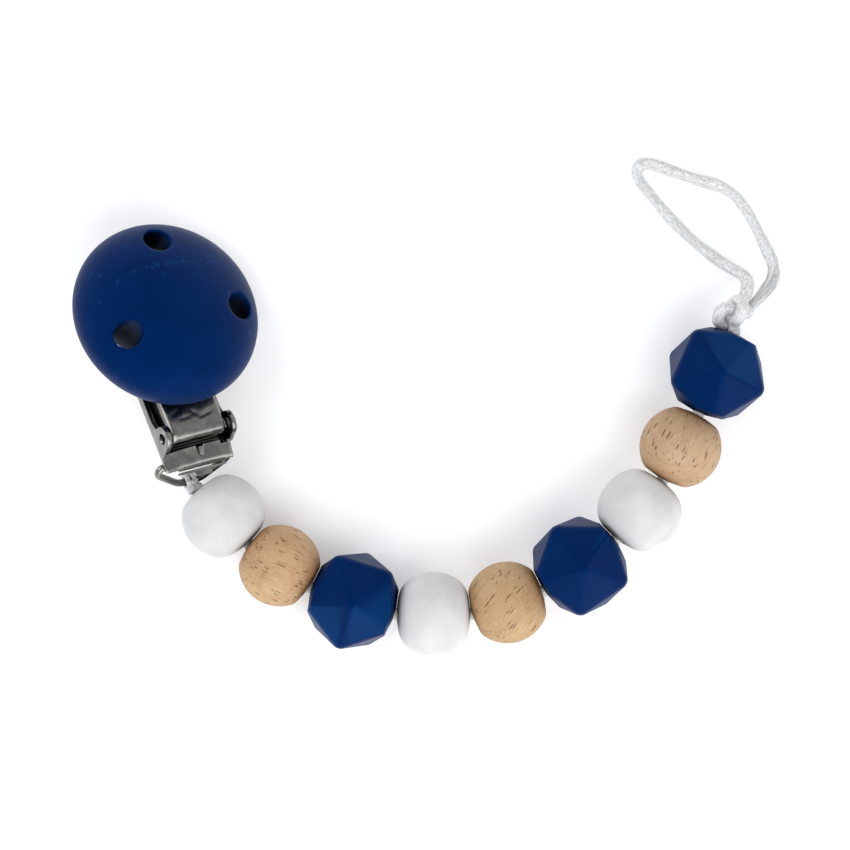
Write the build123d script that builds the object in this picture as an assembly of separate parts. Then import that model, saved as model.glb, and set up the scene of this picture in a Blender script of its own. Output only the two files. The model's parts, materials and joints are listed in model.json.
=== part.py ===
from build123d import *
import os
from math import atan2, cos, degrees, radians, sin, sqrt, tan

# Beaded holder strap with a cam-lever clothing clip at one end and a cord loop at the other.
# Millimetres and degrees. The strap lies on z = 0, and the origin is the bottom centre of
# the box of everything but the free cord loop.

# ---- clip: where it lies, and its own frame (x across, y to the jaw, z out of the disc) ----
CLIP_AT = (-46.05, 22.73, 14.1)
CLIP_YAW = 22.2
CLIP_PITCH = -12.0
CLIP_ROLL = 30.8

# ---- disc: silicone cover over a rigid core ----
DISC_R = 17.3
DOME_HEIGHT = 9.0
BACK_DEPTH = 4.3
EDGE_ROUND = 4.0
CORE_R = 12.6
CORE_TOP = 1.8
CORE_LOW = -2.4
CORE_BOSS_R = 8.2
CORE_GAP = 0.03
VENT_D = 5.2
VENT_CIRCLE_R = 11.8
VENT_SLEEVE_WALL = 1.2
VENT_ANGLES = (87, 200, 342)

# ---- rivets between the lever and the core ----
RIVET_SHANK_R = 1.0
RIVET_HEAD_R = 1.7
RIVET_HEAD_HEIGHT = 0.6
RIVET_Y = (-7.0, 4.0)

# ---- lever ----
SHEET = 0.8
LEVER_TOP = -4.35
LEVER_HALF_WIDTH = 5.1
LEVER_TIP_Y = 8.5
LEVER_TIP_ROUND = 3.0
FLANGE_FULL_Y = 2.0
FLANGE_END_Y = 6.0
FLANGE_DROP = 2.2
PIN_Y = -21.0
PIN_Z = -5.6
PIN_R = 0.85
PIN_CLEARANCE = 0.1
CAM_R = 1.8
CAM_OFFSET_Y = 0.4

# ---- base frame ----
BASE_HALF_WIDTH = 7.0
BASE_BOTTOM = -10.0
JAW_Y = 12.0
JAW_CHAMFER = 1.6
BASE_NEAR_Y = PIN_Y - 2.8
WALL_HEIGHT = 2.6
EAR_R = 2.25
EAR_FOOT_Y = PIN_Y + 4.0
WALL_FULL_Y = 5.0
CURL_OUTER_R = 1.55
CURL_INNER_R = 0.75
CURL_Y = PIN_Y - 4.4
CURL_HALF_WIDTH = 4.9
LIP_HALF_WIDTH = 6.6
TOOTH_COUNT = 5
TOOTH_HEIGHT = 1.3
TOOTH_ROW_INSET = 0.2
WINDOW_WIDTH = 6.0
WINDOW_Y = (-13.0, -4.0)

# ---- inner jaw plate and its pad ----
SPRING_SHEET = 0.6
JAW_PLATE_HALF_WIDTH = 4.9
KNUCKLE_Y = PIN_Y - 1.5
KNUCKLE_R = 0.5
PAD_LENGTH = 3.6
PAD_THICKNESS = 0.9
PAD_RIDGE = 0.3
PAD_RIDGE_COUNT = 4
PAD_RIDGE_PITCH = 0.85
JAW_TIP_BACK = 0.9

# ---- wire ring ----
WIRE_R = 0.68
RING_HALF_WIDTH = 7.0
RING_SHOULDER = 1.8
RING_SHOULDER_HALF_WIDTH = 7.2
RING_FAR_HALF_WIDTH = 2.2
RING_HEIGHT = 5.8
RING_DROOP = 68.0
RING_SLIDE = -1.2
RING_CORNER_R = 0.8

# ---- cord, beads and their order from the clip ----
CORD_R = 1.1
SOCKET_R = 1.15
HITCH_R = 1.75
HITCH_REACH = 2.1
HITCH_HEADING = -38
HITCH_BORE_R = 0.76
BEAD_KINDS = ("white", "wood", "faceted") * 3
BEAD_HEADINGS = (-48, -34.5, -17.5, 0, 17.5, 35, 52, 62, 66)
BEAD_BORE_R = 1.2
ROUND_R = 7.5
FACETED_ACROSS_EDGES = 16.8
FACETED_CORNER_R = 9.4
FACETED_LEANS = (1, -1, 1)
ROUND_REACH = 6.9
FACETED_REACH = 8.1
END_SLOPE = 9.0
END_CLEARANCE = 0.03
ROUND_JOINT_HEIGHT = 8.7
FACETED_JOINT_HEIGHT = 9.4

# ---- end knot and free loop ----
KNOT_LENGTH = 5.2
KNOT_R = 3.5
KNOT_ROUND = 2.4
KNOT_REACH = 3.6
KNOT_TURN = 30
KNOT_DIP = 0.6
LOOP_R = 1.0
LOOP_POINTS = (
    (58.3, 24.9, 8.0),
    (61.1, 29.1, 6.3),
    (55.6, 32.4, 3.3),
    (50.4, 36.6, 1.3),
    (45.3, 41.8, 1.0),
    (42.0, 45.9, 1.0),
    (39.3, 49.2, 1.0),
    (41.0, 51.6, 1.0),
    (45.0, 50.3, 1.0),
    (50.4, 48.3, 1.0),
    (57.0, 46.6, 1.0),
    (60.6, 42.1, 1.0),
    (63.4, 36.4, 1.2),
    (65.6, 31.0, 3.0),
    (63.3, 26.7, 5.7),
    (59.0, 23.3, 7.8),
)
ARC_SHARE = 0.45

clip_place = Pos(*CLIP_AT) * Rot(0, 0, CLIP_YAW) * Rot(CLIP_PITCH, 0, 0) * Rot(0, CLIP_ROLL, 0)
lever_bottom = LEVER_TOP - SHEET
base_floor = BASE_BOTTOM + SHEET
curl_z = BASE_BOTTOM + CURL_OUTER_R
cam_y = PIN_Y + CAM_OFFSET_Y
cam_z = LEVER_TOP - CAM_R


def upright(radius, z_low, z_high, x=0.0, y=0.0):
    """Cylinder along z between two heights."""
    return Pos(x, y, (z_low + z_high) / 2) * Cylinder(radius, z_high - z_low)


def crosswise(radius, y, z, half_length):
    """Cylinder along x, centred on x = 0."""
    return Pos(0, y, z) * Rot(0, 90, 0) * Cylinder(radius, 2 * half_length)


def plate_yz(outline, x_low, x_high):
    """Prism of an outline in the y-z plane between two x positions."""
    face = Plane.YZ * make_face(Polyline(*outline, close=True))
    return Pos(x_low, 0, 0) * extrude(face, amount=x_high - x_low, dir=(1, 0, 0))


def slab(low, high):
    """Box between two corners."""
    size = [b - a for a, b in zip(low, high)]
    centre = [(a + b) / 2 for a, b in zip(low, high)]
    return Pos(*centre) * Box(*size)


def tube_sector(y, z, outer, inner, half_length, cut_outline):
    """Rolled sheet about an x axis, less the part inside an outline relative to that axis."""
    roll = crosswise(outer, y, z, half_length) - crosswise(inner, y, z, half_length + 1)
    mouth = [(y + dy, z + dz) for dy, dz in cut_outline]
    return roll - plate_yz(mouth, -half_length - 1, half_length + 1)


def core_shape(gap):
    """Rigid core of the disc, grown by a gap where it is used as the cavity."""
    web = upright(CORE_R + gap, CORE_LOW - gap, CORE_TOP + gap)
    for angle in VENT_ANGLES:
        x = VENT_CIRCLE_R * cos(radians(angle))
        y = VENT_CIRCLE_R * sin(radians(angle))
        web -= upright(VENT_D / 2 + VENT_SLEEVE_WALL - gap, CORE_LOW - 1, CORE_TOP + 1, x, y)
    return web + upright(CORE_BOSS_R + gap, -BACK_DEPTH, CORE_LOW)


def disc_cover():
    """Domed silicone disc with three vent holes and a cavity for the core."""
    dome = EllipticalCenterArc((0, 0), DISC_R, DOME_HEIGHT, start_angle=0, arc_size=90)
    flat_r = DISC_R - EDGE_ROUND
    edge = EllipticalCenterArc((flat_r, 0), EDGE_ROUND, BACK_DEPTH, start_angle=270, arc_size=90)
    axis_line = Line((0, DOME_HEIGHT), (0, -BACK_DEPTH))
    back_line = Line((0, -BACK_DEPTH), (flat_r, -BACK_DEPTH))
    body = revolve(Plane.XZ * make_face(axis_line + back_line + edge + dome), Axis.Z)
    body -= core_shape(CORE_GAP)
    for angle in VENT_ANGLES:
        x = VENT_CIRCLE_R * cos(radians(angle))
        y = VENT_CIRCLE_R * sin(radians(angle))
        body -= upright(VENT_D / 2, -BACK_DEPTH - 1, DOME_HEIGHT + 1, x, y)
    return body


def disc_core():
    """Rigid plastic core with two blind rivet holes."""
    core = core_shape(0)
    for y in RIVET_Y:
        core -= upright(RIVET_SHANK_R, -BACK_DEPTH - 1, 0, 0, y)
    return core


def disc_rivets():
    """Two rivets, from under the lever into the core."""
    rivets = []
    for y in RIVET_Y:
        head = upright(RIVET_HEAD_R, lever_bottom - RIVET_HEAD_HEIGHT, lever_bottom, 0, y)
        shank = upright(RIVET_SHANK_R, lever_bottom, -0.2, 0, y)
        rivets.append(head + shank)
    return Part(children=rivets)


def lever():
    """Cam lever: plate, side flanges, rolled cam end and two trunnions."""
    plate = slab((-LEVER_HALF_WIDTH, cam_y, lever_bottom), (LEVER_HALF_WIDTH, LEVER_TIP_Y, LEVER_TOP))
    plate = fillet(plate.edges().filter_by(Axis.Z).group_by(Axis.Y)[-1], LEVER_TIP_ROUND)
    beyond = CAM_R + 1
    opening = [(0, beyond), (0, CAM_R - SHEET), (0, 0), (1.2, -beyond), (4, -beyond), (4, beyond)]
    cam = tube_sector(cam_y, cam_z, CAM_R, CAM_R - SHEET, LEVER_HALF_WIDTH, opening)
    flange = [
        (PIN_Y, lever_bottom),
        (PIN_Y, lever_bottom - FLANGE_DROP),
        (FLANGE_FULL_Y, lever_bottom - FLANGE_DROP),
        (FLANGE_END_Y, lever_bottom),
    ]
    body = plate + cam
    for side in (-1, 1):
        low, high = sorted((side * LEVER_HALF_WIDTH, side * (LEVER_HALF_WIDTH - SHEET)))
        body += plate_yz(flange, low, high)
        middle = (low + high) / 2
        cheek = Pos(middle, cam_y, cam_z) * Rot(0, 90, 0) * Cylinder(CAM_R, SHEET)
        body += cheek
        trunnion_mid = side * (LEVER_HALF_WIDTH + BASE_HALF_WIDTH) / 2
        trunnion_length = BASE_HALF_WIDTH - LEVER_HALF_WIDTH + SHEET
        trunnion = Pos(trunnion_mid, PIN_Y, PIN_Z) * Rot(0, 90, 0) * Cylinder(PIN_R, trunnion_length)
        body += trunnion
    for y in RIVET_Y:
        body -= upright(RIVET_SHANK_R, lever_bottom - 1, LEVER_TOP + 1, 0, y)
    return body


def base_frame():
    """Channel with two ears for the trunnions, jaw teeth, and a curl round the ring's bar."""
    inner = BASE_HALF_WIDTH - SHEET
    body = slab((-BASE_HALF_WIDTH, BASE_NEAR_Y, BASE_BOTTOM), (BASE_HALF_WIDTH, JAW_Y, base_floor))
    body += slab((-CURL_HALF_WIDTH, CURL_Y, BASE_BOTTOM), (CURL_HALF_WIDTH, BASE_NEAR_Y + 0.5, base_floor))
    wall_top = BASE_BOTTOM + WALL_HEIGHT
    wall = [
        (BASE_NEAR_Y, BASE_BOTTOM),
        (JAW_Y, BASE_BOTTOM),
        (JAW_Y, base_floor),
        (WALL_FULL_Y, wall_top),
        (EAR_FOOT_Y, wall_top),
        (PIN_Y + EAR_R, PIN_Z - 1.0),
        (PIN_Y + EAR_R, PIN_Z),
        (PIN_Y - EAR_R, PIN_Z),
        (BASE_NEAR_Y, wall_top),
    ]
    for side in (-1, 1):
        low, high = sorted((side * inner, side * BASE_HALF_WIDTH))
        body += plate_yz(wall, low, high)
        ear_top = Pos((low + high) / 2, PIN_Y, PIN_Z) * Rot(0, 90, 0) * Cylinder(EAR_R, SHEET)
        body += ear_top
    body -= crosswise(PIN_R + PIN_CLEARANCE, PIN_Y, PIN_Z, BASE_HALF_WIDTH + 1)
    for side in (-1, 1):
        body -= jaw_corner(side)
    body += base_curl()
    body += base_teeth()
    near, far = WINDOW_Y
    body -= slab((-WINDOW_WIDTH / 2, near, BASE_BOTTOM - 1), (WINDOW_WIDTH / 2, far, base_floor + 0.01))
    return body


def jaw_corner(side):
    """Wedge cut off one corner of the base's jaw end."""
    edge = BASE_HALF_WIDTH + 0.1
    corners = [
        (side * edge, JAW_Y + 0.1),
        (side * edge, JAW_Y - JAW_CHAMFER),
        (side * (edge - JAW_CHAMFER), JAW_Y + 0.1),
    ]
    wedge = extrude(make_face(Polyline(*corners, close=True)), amount=WALL_HEIGHT + 1, dir=(0, 0, 1))
    return Pos(0, 0, BASE_BOTTOM - 0.5) * wedge


def base_curl():
    """Near end of the base: rolled over the ring's bar, then a lip that leans to the cam."""
    opening = [(0, -CURL_OUTER_R - 1), (0, CURL_OUTER_R + 1), (4, CURL_OUTER_R + 1), (4, -CURL_OUTER_R - 1)]
    roll = tube_sector(CURL_Y, curl_z, CURL_OUTER_R, CURL_INNER_R, CURL_HALF_WIDTH, opening)
    top = curl_z + CURL_OUTER_R
    lip = [(CURL_Y, top - SHEET), (CURL_Y, top), (CURL_Y + 1.8, top + 0.9), (CURL_Y + 2.1, top + 0.25)]
    return roll + plate_yz(lip, -LIP_HALF_WIDTH, LIP_HALF_WIDTH)


def base_teeth():
    """Row of pointed teeth across the jaw end."""
    pitch = 2 * (BASE_HALF_WIDTH - JAW_CHAMFER - TOOTH_ROW_INSET) / TOOTH_COUNT
    tooth = make_face(Polyline((-pitch / 2, 0), (pitch / 2, 0), (0, TOOTH_HEIGHT), close=True))
    row = Part()
    for i in range(TOOTH_COUNT):
        x = (i - (TOOTH_COUNT - 1) / 2) * pitch
        row += Pos(x, JAW_Y, base_floor - 0.05) * extrude(Plane.XZ * tooth, amount=SHEET)
    return row


def jaw_plate():
    """Sprung inner jaw: hooked at its near end, under the cam, out to the pad."""
    rise = cam_z - CAM_R - 0.12
    low = rise - SPRING_SHEET
    knuckle_z = base_floor + KNUCKLE_R + 0.05
    tip_y = JAW_Y - JAW_TIP_BACK
    tip_low = base_floor + PAD_THICKNESS + 0.1
    bend_y = tip_y - PAD_LENGTH - 0.5
    outline = [
        (KNUCKLE_Y, knuckle_z - 0.3),
        (KNUCKLE_Y, knuckle_z + 0.3),
        (KNUCKLE_Y + 1.1, rise),
        (bend_y - 2.0, rise),
        (bend_y, tip_low + SPRING_SHEET),
        (tip_y, tip_low + SPRING_SHEET),
        (tip_y, tip_low),
        (bend_y, tip_low),
        (bend_y - 2.0, low),
        (KNUCKLE_Y + 1.5, low),
    ]
    body = plate_yz(outline, -JAW_PLATE_HALF_WIDTH, JAW_PLATE_HALF_WIDTH)
    return body + crosswise(KNUCKLE_R, KNUCKLE_Y, knuckle_z, JAW_PLATE_HALF_WIDTH)


def jaw_pad():
    """Plastic pad with cross ridges under the jaw plate's tip."""
    far_y = JAW_Y - JAW_TIP_BACK
    top = base_floor + PAD_THICKNESS + 0.05
    half_width = JAW_PLATE_HALF_WIDTH
    pad = slab((-half_width, far_y - PAD_LENGTH, base_floor + 0.35), (half_width, far_y, top))
    ridge = [(-0.35, 0), (0.35, 0), (0, -PAD_RIDGE)]
    for i in range(PAD_RIDGE_COUNT):
        y = far_y - 0.5 - i * PAD_RIDGE_PITCH
        outline = [(y + dy, base_floor + 0.36 + dz) for dy, dz in ridge]
        pad += plate_yz(outline, -half_width, half_width)
    return pad


def ring_point(x, along):
    """Point on the ring's plane: x from the ring's middle, and a distance out from the bar's axis."""
    droop = radians(RING_DROOP)
    return (x + RING_SLIDE, CURL_Y - along * cos(droop), curl_z - along * sin(droop))


def wire_ring():
    """Wire ring: a bar in the base's curl, shoulders, and two legs to a short far side."""
    corners = [
        ring_point(-RING_HALF_WIDTH, 0),
        ring_point(RING_HALF_WIDTH, 0),
        ring_point(RING_SHOULDER_HALF_WIDTH, RING_SHOULDER),
        ring_point(RING_FAR_HALF_WIDTH, RING_HEIGHT),
        ring_point(-RING_FAR_HALF_WIDTH, RING_HEIGHT),
        ring_point(-RING_SHOULDER_HALF_WIDTH, RING_SHOULDER),
    ]
    path = FilletPolyline(*corners, radius=RING_CORNER_R, close=True)
    section = Plane(origin=path @ 0, z_dir=path % 0) * Circle(WIRE_R)
    return sweep(section, path=path)


def travel(heading, length, rise):
    """Vector of a given length that rises by a given height, along a heading."""
    flat = sqrt(length**2 - rise**2)
    return Vector(flat * cos(radians(heading)), flat * sin(radians(heading)), rise)


def joint_height(kind, neighbour):
    """Height of the cord's bend between two beads."""
    if "faceted" in (kind, neighbour):
        return FACETED_JOINT_HEIGHT
    return ROUND_JOINT_HEIGHT


def chain_layout():
    """Bend points of the cord, and each bead's centre, from the ring to the knot."""
    ring_tip = clip_place * Pos(*ring_point(0, RING_HEIGHT))
    bend = ring_tip.position + travel(HITCH_HEADING, HITCH_REACH, 0)
    bends = [bend]
    centres = []
    for i, kind in enumerate(BEAD_KINDS):
        after = BEAD_KINDS[i + 1] if i + 1 < len(BEAD_KINDS) else "white"
        reach = FACETED_REACH if kind == "faceted" else ROUND_REACH
        rise = joint_height(kind, after) - bends[-1].Z
        step = travel(BEAD_HEADINGS[i], 2 * reach, rise)
        centres.append(bends[-1] + step / 2)
        bends.append(bends[-1] + step)
    return bends, centres


def along(start, end, at):
    """Frame at a point, with z from start to end and x as near upright as it can be."""
    direction = (end - start).normalized()
    up = Vector(0, 0, 1)
    up -= direction * up.dot(direction)
    return Plane(origin=at, x_dir=up, z_dir=direction)


def cord_span(start, end):
    """Length of cord through one bead: a cup at its start, a ball at its end."""
    length = (end - start).length
    body = upright(CORD_R, 0, length) + Pos(0, 0, length) * Sphere(CORD_R)
    body -= Sphere(SOCKET_R)
    return along(start, end, start) * body


def cord_hitch(tip, bend):
    """Cord's wrap round the ring's far side, ending in a ball."""
    length = (bend - tip).length
    body = Sphere(HITCH_R) + upright(CORD_R, 0, length) + Pos(0, 0, length) * Sphere(CORD_R)
    body = along(tip, bend, tip) * body
    wire = clip_place * Pos(*ring_point(0, RING_HEIGHT)) * Rot(0, 90, 0)
    return body - wire * Cylinder(HITCH_BORE_R, 3 * HITCH_R)


def strung(body, reach):
    """A bead's body, bored, with shallow cones for ends that clear the next bead's as they bend."""
    wide = 2 * ROUND_R
    tip = reach - END_CLEARANCE
    rim = tip - wide * tan(radians(END_SLOPE))
    outline = Polyline((0, -tip), (wide, -rim), (wide, rim), (0, tip), close=True)
    spindle = revolve(Plane.XZ * make_face(outline), Axis.Z)
    return (body & spindle) - Cylinder(BEAD_BORE_R, 2 * wide)


def round_bead():
    """Ball strung on the cord."""
    return strung(Sphere(ROUND_R), ROUND_REACH)


def faceted_bead(lean):
    """Icosahedron bored through two opposite edges, with its corners rounded off."""
    golden = (1 + sqrt(5)) / 2
    half_edge = FACETED_ACROSS_EDGES / 2 / golden
    corners = []
    for a in (-half_edge, half_edge):
        for b in (-half_edge * golden, half_edge * golden):
            corners += [(0, a, b), (a, b, 0), (b, 0, a)]
    body = ConvexPolyhedron(corners) & Sphere(FACETED_CORNER_R)
    corner_angle = degrees(atan2(1, golden))
    return strung(Rot(0, 0, lean * corner_angle - 90) * body, FACETED_REACH)


def end_knot(bend, centre):
    """Plain solid of the knot's size, with a cup for the last span's ball."""
    length = (centre - bend).length
    body = Cylinder(KNOT_R, KNOT_LENGTH)
    body = fillet(body.edges().filter_by(GeomType.CIRCLE), KNOT_ROUND)
    neck = upright(CORD_R, -length, 0)
    body = body + neck - Pos(0, 0, -length) * Sphere(SOCKET_R)
    return along(bend, centre, centre) * body


def corner_radii(points, share):
    """Arc radius at each inner point of a route: as large as its shorter run allows."""
    radii = []
    for a, b, c in zip(points, points[1:], points[2:]):
        before, after = b - a, c - b
        turn = radians(before.get_angle(after))
        radii.append(share * min(before.length, after.length) / tan(turn / 2))
    return radii


def end_loop():
    """Free loop of cord, from the knot out and back to it."""
    points = [Vector(*p) for p in LOOP_POINTS]
    radii = corner_radii(points, ARC_SHARE)
    path = FilletPolyline(*points, radius=radii)
    section = Plane(origin=path @ 0, z_dir=path % 0) * Circle(LOOP_R)
    body = sweep(section, path=path)
    print("loop length", round(path.length, 1), "radii", [round(r, 1) for r in radii])
    print("loop volume", round(body.volume, 1), "section x length", round(section.area * path.length, 1))
    return body


def save(node, body):
    """Write one node's STEP file."""
    body.label = node
    export_step(body, f"parts/{node}.step")


def main():
    os.makedirs("parts", exist_ok=True)
    clip_makers = (disc_cover, disc_core, disc_rivets, lever, base_frame, jaw_plate, jaw_pad, wire_ring)
    for make in clip_makers:
        save(make.__name__, clip_place * make())
    bends, centres = chain_layout()
    ring_tip = (clip_place * Pos(*ring_point(0, RING_HEIGHT))).position
    save("cord_hitch", cord_hitch(ring_tip, bends[0]))
    faceted_made = 0
    for i, kind in enumerate(BEAD_KINDS):
        start, end = bends[i], bends[i + 1]
        save(f"cord_span_{i + 1}", cord_span(start, end))
        if kind == "faceted":
            bead = faceted_bead(FACETED_LEANS[faceted_made])
            faceted_made += 1
        else:
            bead = round_bead()
        save(f"bead_{i + 1}_{kind}", along(start, end, centres[i]) * bead)
    knot_centre = bends[-1] + travel(BEAD_HEADINGS[-1] + KNOT_TURN, KNOT_REACH, -KNOT_DIP)
    save("end_knot", end_knot(bends[-1], knot_centre))
    save("end_loop", end_loop())


if __name__ == "__main__":
    main()
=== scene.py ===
"""Beaded holder strap with a cam-lever clip and a cord loop: the looks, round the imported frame."""

import json
from math import acos, asin, atan, cos, pi, radians, sin, sqrt, tan

import bmesh
import bpy
import numpy as np
from mathutils import Matrix, Vector


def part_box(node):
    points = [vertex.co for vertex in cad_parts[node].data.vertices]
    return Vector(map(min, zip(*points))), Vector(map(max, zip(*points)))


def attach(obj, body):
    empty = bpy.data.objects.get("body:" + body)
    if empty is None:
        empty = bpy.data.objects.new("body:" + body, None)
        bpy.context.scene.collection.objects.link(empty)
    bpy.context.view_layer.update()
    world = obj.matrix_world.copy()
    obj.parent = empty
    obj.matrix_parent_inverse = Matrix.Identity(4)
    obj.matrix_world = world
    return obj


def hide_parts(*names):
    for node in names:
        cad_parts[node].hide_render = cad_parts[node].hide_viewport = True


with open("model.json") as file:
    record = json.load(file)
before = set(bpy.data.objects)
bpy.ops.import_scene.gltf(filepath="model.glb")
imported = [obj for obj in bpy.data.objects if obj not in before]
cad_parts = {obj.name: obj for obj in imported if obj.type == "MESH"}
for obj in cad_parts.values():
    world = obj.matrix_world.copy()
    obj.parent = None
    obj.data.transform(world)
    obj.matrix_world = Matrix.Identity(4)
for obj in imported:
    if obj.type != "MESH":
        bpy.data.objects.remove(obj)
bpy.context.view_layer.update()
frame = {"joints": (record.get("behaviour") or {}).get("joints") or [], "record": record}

MM = 0.001
record = frame["record"]
joints = {j["name"]: j for j in frame["joints"]}
mounts = {m["name"]: m for m in record["mounts"]}

# ---- camera: straight down over the strap ----
CAMERA_AT = (0.00058, 0.00270, 0.450)
SEEN_WIDTH = 0.1551
SEEN_HEIGHT = 0.0085
SENSOR_MM = 36.0
FLOOR_HALF = 1.5

# ---- free loop of cord: the route's points in metres, and its cord ----
LOOP_POINTS = (
    (0.0583, 0.0249, 0.0080),
    (0.0611, 0.0291, 0.0063),
    (0.0556, 0.0324, 0.0033),
    (0.0504, 0.0366, 0.0013),
    (0.0453, 0.0418, 0.0010),
    (0.0420, 0.0459, 0.0010),
    (0.0393, 0.0492, 0.0010),
    (0.0410, 0.0516, 0.0010),
    (0.0450, 0.0503, 0.0010),
    (0.0504, 0.0483, 0.0010),
    (0.0570, 0.0466, 0.0010),
    (0.0606, 0.0421, 0.0010),
    (0.0634, 0.0364, 0.0012),
    (0.0656, 0.0310, 0.0030),
    (0.0633, 0.0267, 0.0057),
    (0.0590, 0.0233, 0.0078),
)
LOOP_R = 1.0

# ---- clip, in its own frame: x across, y to the jaw, z out of the disc; millimetres ----
DISC_R = 17.3
DOME_HEIGHT = 9.0
BACK_DEPTH = 4.3
EDGE_ROUND = 4.0
BOSS_R = 8.2
VENT_R = 2.6
VENT_CIRCLE_R = 11.8
VENT_ANGLES = (87, 200, 342)
SHEET = 0.8
LEVER_TOP = -4.35
LEVER_HALF_WIDTH = 5.6
LEVER_TIP_Y = 8.5
FLANGE_DROP = 2.2
PIN_Y = -21.0
PIN_Z = -5.6
CAM_R = 1.8
CAM_Y = -20.6
CAM_Z = LEVER_TOP - CAM_R
BASE_HALF_WIDTH = 7.0
BASE_BOTTOM = -10.0
BASE_FLOOR = BASE_BOTTOM + SHEET
JAW_Y = 12.0
BASE_NEAR_Y = PIN_Y - 2.8
WALL_HEIGHT = 2.6
EAR_R = 2.25
CURL_R = 1.55
CURL_Y = PIN_Y - 4.4
CURL_Z = BASE_BOTTOM + CURL_R
STRAP_HALF_WIDTH = 4.6
LIP_HALF_WIDTH = 6.4
LIP_REACH = 2.1
LIP_SLIDE = -0.9
PIN_HOLE_R = 1.02
WINDOW_HALF_WIDTH = 3.0
WINDOW_Y = (-13.0, -4.0)
JAW_HALF_WIDTH = 4.9
PAD_LENGTH = 3.6
RIVET_Y = (-7.0, 4.0)
RIVET_R = 1.7
WIRE_R = 0.68
RING_HALF_WIDTH = 7.0
RING_FAR_HALF_WIDTH = 2.2
RING_SHOULDER = 1.8
RING_SHOULDER_HALF_WIDTH = 7.2
RING_HEIGHT = 5.8
RING_DROOP = 68.0
RING_SLIDE = -1.2

# ---- beads and the cord through them, millimetres ----
BEAD_KINDS = ("white", "wood", "faceted") * 3
ROUND_R = {"white": 7.65, "wood": 7.45}
ROUND_REACH = 6.9
FACETED_REACH = 8.1
END_SLOPE = 9.0
END_CLEARANCE = 0.035
BORE_R = 1.2
FACETED_ACROSS_EDGES = 17.2
FACETED_LEANS = {3: 1, 6: -1, 9: 1}
CORD_R = 1.1
KNOT_REACH = 3.6
KNOT_TURN = 30


# ==== frames ====
def clip_matrix():
    """Clip's frame, from the lever's hinge and the jaw's direction."""
    across = Vector(joints["lever_open"]["axis"]).normalized()
    ahead = Vector(mounts["fabric_jaw"]["axis"]).normalized()
    out = across.cross(ahead).normalized()
    ahead = out.cross(across)
    turn = Matrix((across, ahead, out)).transposed()
    pin = Vector(joints["lever_open"]["pos_m"])
    origin = pin - turn @ Vector((0, PIN_Y * MM, PIN_Z * MM))
    return Matrix.Translation(origin) @ turn.to_4x4()


def along(start, end, at):
    """Frame at a point with z from start to end and x as near upright as it can be."""
    direction = (end - start).normalized()
    up = Vector((0, 0, 1))
    up = (up - direction * up.dot(direction)).normalized()
    side = direction.cross(up)
    return Matrix.Translation(at) @ Matrix((up, side, direction)).transposed().to_4x4()


CLIP = clip_matrix()
bends = [Vector(joints[f"cord_bend_{i + 1}"]["pos_m"]) for i in range(len(BEAD_KINDS))]
bends.append(Vector(joints["knot_bend"]["pos_m"]))
ring_tip = Vector(joints["hitch_swing"]["pos_m"])


# ==== mesh helpers: points in millimetres of a local frame, meshes in metres ====
def new_object(name, mesh, place):
    obj = bpy.data.objects.new(name, mesh)
    bpy.context.scene.collection.objects.link(obj)
    obj.matrix_world = place
    return obj


def faced_out(mesh, merge=0.0):
    """Turns a mesh's faces outward, after merging points closer than a distance."""
    work = bmesh.new()
    work.from_mesh(mesh)
    if merge:
        bmesh.ops.remove_doubles(work, verts=work.verts, dist=merge)
    bmesh.ops.recalc_face_normals(work, faces=work.faces)
    work.to_mesh(mesh)
    work.free()
    return mesh


def mesh_of(name, points, faces):
    """Mesh of points in millimetres, with its faces turned outward."""
    mesh = bpy.data.meshes.new(name)
    mesh.from_pydata([Vector(p) * MM for p in points], [], faces)
    return faced_out(mesh, 1e-7)


def smoothed(mesh, sharp_deg=None):
    """Shades a mesh smooth but for edges past an angle."""
    mesh.shade_smooth()
    if sharp_deg is not None:
        mesh.set_sharp_from_angle(angle=radians(sharp_deg))
    return mesh


def grid(name, rows, wrap=False, caps=False):
    """Mesh through rows of points, closed round each row and capped at its ends if asked."""
    points = [p for row in rows for p in row]
    n = len(rows[0])
    faces = []
    for i in range(len(rows) - 1):
        for j in range(n if wrap else n - 1):
            k = (j + 1) % n
            faces.append((i * n + j, i * n + k, (i + 1) * n + k, (i + 1) * n + j))
    if caps:
        faces.append(tuple(range(n)))
        faces.append(tuple((len(rows) - 1) * n + j for j in range(n)))
    return mesh_of(name, points, faces)


def lathe(name, outline, segments, closed=True):
    """Mesh of revolution round z of an outline of (radius, height)."""
    rows = []
    for i in range(segments + 1):
        a = 2 * pi * i / segments
        rows.append([(r * cos(a), r * sin(a), h) for r, h in outline])
    return grid(name, rows, wrap=closed)


def bezier(start, corner, end, steps):
    """Points of a rounded corner, its ends included."""
    points = []
    for i in range(steps + 1):
        t = i / steps
        points.append(tuple((1 - t) ** 2 * a + 2 * t * (1 - t) * b + t * t * c
                            for a, b, c in zip(start, corner, end)))
    return points


def rounded(corners, radius, steps=6, closed=True):
    """Outline through corners, each rounded over a distance each way."""
    points = []
    n = len(corners)
    for i in range(n):
        here = Vector(corners[i])
        if not closed and i in (0, n - 1):
            points.append(tuple(here))
            continue
        before = Vector(corners[i - 1])
        after = Vector(corners[(i + 1) % n])
        reach_in = min(radius, (before - here).length * 0.49)
        reach_out = min(radius, (after - here).length * 0.49)
        start = here + (before - here).normalized() * reach_in
        end = here + (after - here).normalized() * reach_out
        points += bezier(tuple(start), tuple(here), tuple(end), steps)
    return points


def oblong(x_low, x_high, y_low, y_high, corner):
    """Outline of a rectangle with rounded corners."""
    return rounded([(x_low, y_low), (x_high, y_low), (x_high, y_high), (x_low, y_high)], corner)


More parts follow.
